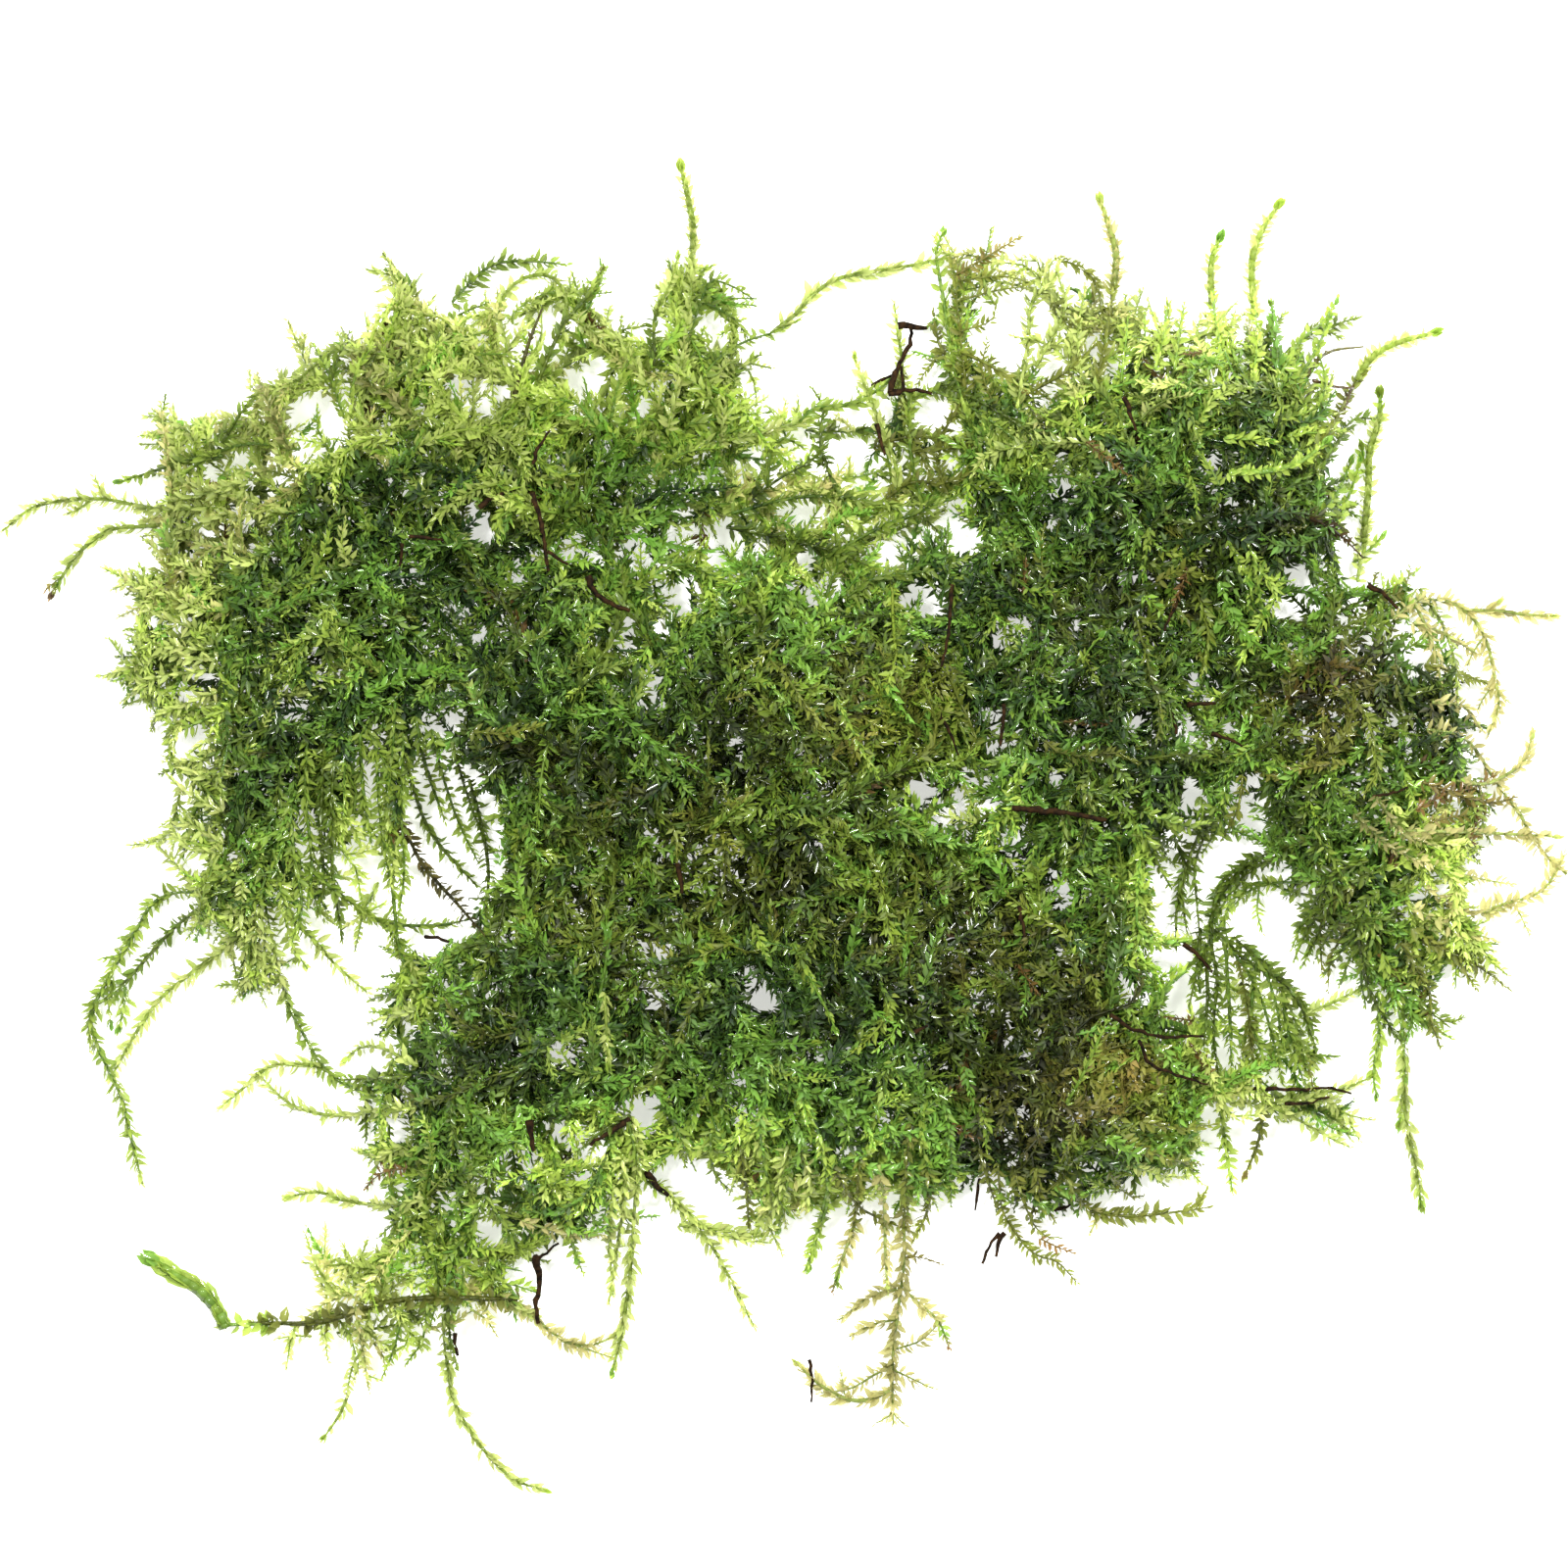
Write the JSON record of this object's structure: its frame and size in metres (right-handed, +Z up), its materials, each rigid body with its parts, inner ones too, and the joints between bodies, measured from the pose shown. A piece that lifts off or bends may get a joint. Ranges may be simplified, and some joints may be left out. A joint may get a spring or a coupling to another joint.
{
  "type": "moss clump",
  "caption": "Loose flat clump of aquatic moss: interlaced leafy green shoots heaped into a low mat with feathery ends trailing on the table.",
  "frame": {"origin": "on the table, under the middle of the clump's bounding box", "axes": "+X along the clump's long side, +Y along its short side, +Z up from the table"},
  "size_m": [0.1505, 0.127, 0.0178],
  "materials": {
    "fresh_moss": "wet young shoots, translucent lime green with small glints",
    "mature_moss": "wet grown shoots, mid green, satin",
    "shaded_moss": "wet dense shoots, deep green, satin with small glints",
    "olive_moss": "older shoots, olive to brownish green, satin",
    "yellowing_moss": "ageing shoots, yellow green with rusty tips, translucent",
    "dead_stem": "bare dead stems, brown to black, dull"
  },
  "bodies": {
    "root": {"tuft_upper_left": "fresh_moss", "tuft_upper_middle": "fresh_moss", "tuft_upper_bridge": "fresh_moss", "tuft_feather": "olive_moss", "tuft_upper_right": "shaded_moss", "tuft_left_fan": "mature_moss", "tuft_left_hanging": "mature_moss", "tuft_left_curtain": "fresh_moss", "tuft_centre_left": "mature_moss", "tuft_centre": "olive_moss", "tuft_centre_right": "shaded_moss", "tuft_right": "olive_moss", "tuft_lower_left": "shaded_moss", "tuft_lower_middle": "shaded_moss", "tuft_lower_right": "olive_moss", "tuft_lower_corner": "fresh_moss", "tuft_bottom_left": "fresh_moss", "shoot_far_left": "fresh_moss", "shoot_left_brown_tip": "yellowing_moss", "shoot_top_spire": "fresh_moss", "shoot_upper_arc": "mature_moss", "shoot_thin_arc": "fresh_moss", "shoot_tall_pale": "yellowing_moss", "shoot_bright_upright": "fresh_moss", "shoot_bright_tall": "fresh_moss", "shoot_pale_reach": "fresh_moss", "shoot_right_upright": "fresh_moss", "shoot_yellow_arc": "yellowing_moss", "shoot_right_thin": "yellowing_moss", "shoot_far_right": "yellowing_moss", "shoot_yellow_curl": "yellowing_moss", "shoot_right_trailing": "fresh_moss", "shoot_lower_bright": "fresh_moss", "shoot_lower_level": "olive_moss", "shoot_lower_curl": "olive_moss", "shoot_bottom_main": "yellowing_moss", "shoot_bottom_left_branch": "yellowing_moss", "shoot_bottom_right_branch": "yellowing_moss", "shoot_bottom_side": "yellowing_moss", "shoot_bottom_beaded": "fresh_moss", "shoot_bottom_long": "fresh_moss", "shoot_bottom_curl": "yellowing_moss", "shoot_bottom_tail": "fresh_moss", "shoot_far_lower_left": "mature_moss", "shoot_left_level": "fresh_moss", "shoot_left_fork": "fresh_moss", "shoot_left_link": "mature_moss", "shoot_left_inner_tip": "fresh_moss", "shoot_left_outer": "mature_moss", "shoot_left_pale": "fresh_moss", "shoot_window_left": "mature_moss", "shoot_window_right": "mature_moss", "dead_stem_upright": "dead_stem", "dead_stem_crossbar": "dead_stem", "dead_stem_right": "dead_stem", "dead_stem_bottom": "dead_stem", "dead_stem_lower_left": "dead_stem"}
  },
  "joints": []
}
